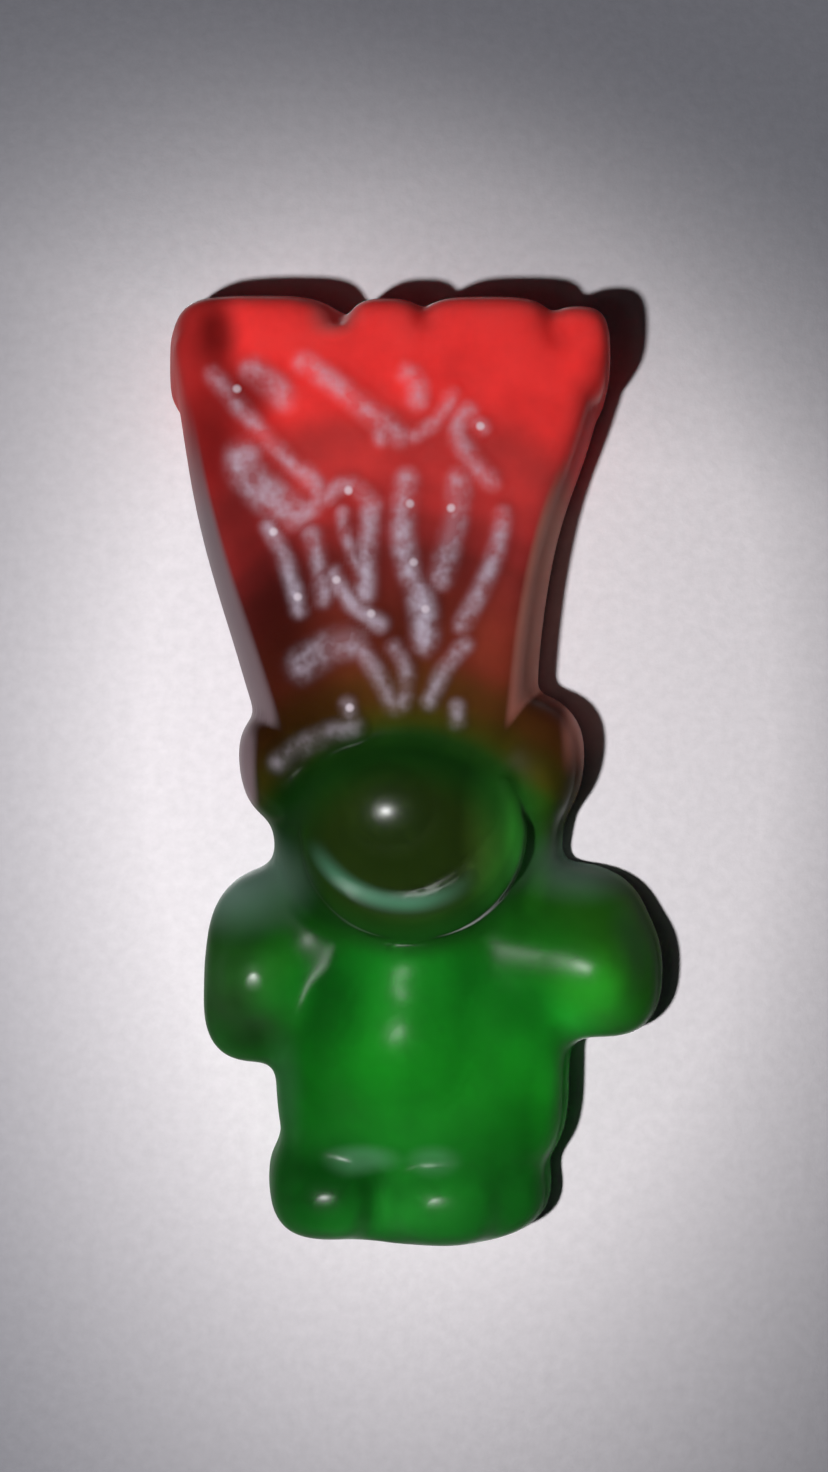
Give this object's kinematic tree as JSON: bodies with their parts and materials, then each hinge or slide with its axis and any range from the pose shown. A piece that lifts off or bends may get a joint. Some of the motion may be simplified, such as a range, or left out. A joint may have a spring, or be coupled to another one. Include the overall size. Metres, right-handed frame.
{
  "type": "troll jelly sweet",
  "caption": "Moulded jelly sweet in the shape of a little troll with tall flared hair, flat at the back.",
  "frame": {"origin": "under the middle of the figure, on its flat back", "axes": "+X across the figure towards the picture's right, +Y from the feet to the tips of the hair, +Z out of the front of the face"},
  "size_m": [0.0258, 0.049, 0.0092],
  "materials": {
    "two_tone_gel": "glossy translucent gel, red hair running into a green body"
  },
  "bodies": {
    "root": {"troll_gummy": "two_tone_gel"}
  },
  "joints": []
}
